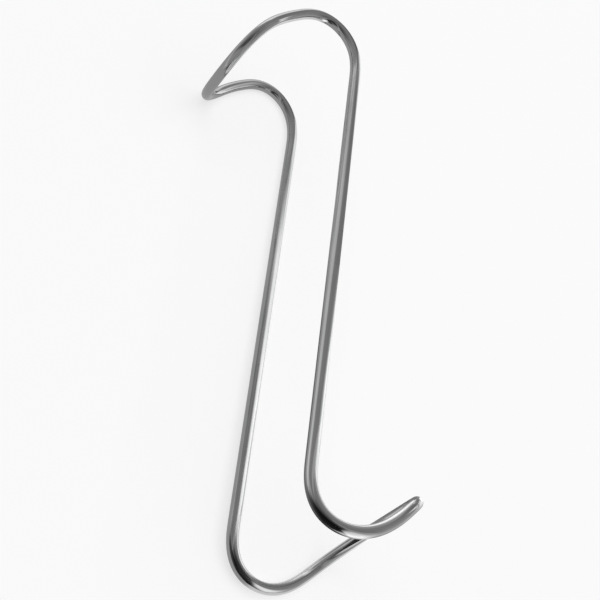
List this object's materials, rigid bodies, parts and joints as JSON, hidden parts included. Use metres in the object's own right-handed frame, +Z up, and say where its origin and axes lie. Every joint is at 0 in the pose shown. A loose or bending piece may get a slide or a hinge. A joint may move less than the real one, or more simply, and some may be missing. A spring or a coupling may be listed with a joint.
{
  "type": "handheld surgical retractor",
  "caption": "Handheld surgical retractor for holding tissue back: round polished steel wire bent into a long closed loop, its ends curled into hooks facing opposite ways.",
  "frame": {"origin": "centre of the bounding box in plan, on the surface the part lies on", "axes": "+X along the shank towards the narrower hook, +Y the way the narrower hook curls, +Z up from the surface, across the loop from the rod it lies on to the upper rod"},
  "size_m": [0.1586, 0.0704, 0.0428],
  "materials": {
    "polished_steel": "polished stainless steel wire, bright, with faint lengthwise polishing lines"
  },
  "bodies": {
    "root": {"wire_loop": "polished_steel"}
  },
  "joints": []
}
